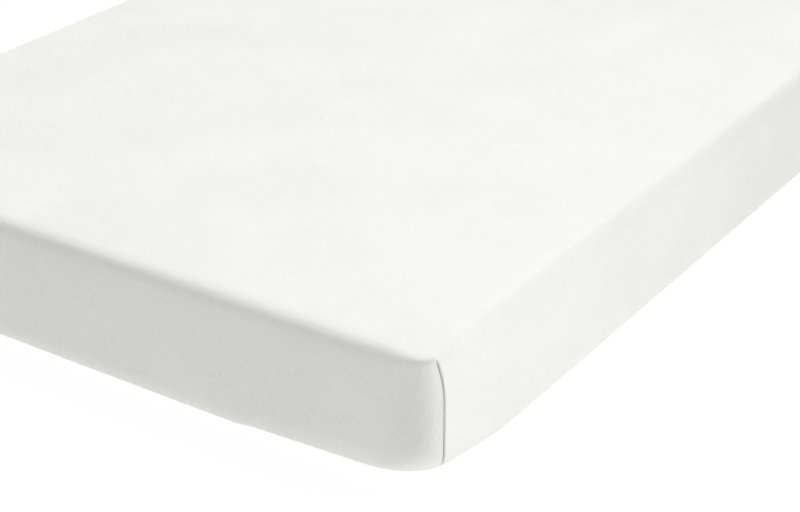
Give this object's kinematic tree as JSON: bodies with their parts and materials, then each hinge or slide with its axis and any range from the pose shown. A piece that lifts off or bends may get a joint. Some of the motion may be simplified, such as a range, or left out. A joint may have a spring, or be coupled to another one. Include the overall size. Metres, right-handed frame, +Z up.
{
  "type": "fitted sheet on mattress",
  "caption": "White fitted sheet stretched smooth over a plain single mattress, with a sewn seam at the corner and the hem turned under.",
  "frame": {"origin": "middle of the underside, on the surface that the mattress stands on", "axes": "+X across the bed, +Y along the bed, +Z up"},
  "size_m": [0.9, 2, 0.16],
  "materials": {
    "sheet_cloth": "matt white cotton knit with a fine soft nap",
    "mattress_cover": "matt off-white woven ticking"
  },
  "bodies": {
    "root": {"fitted_sheet": "sheet_cloth", "mattress": "mattress_cover"}
  },
  "joints": []
}
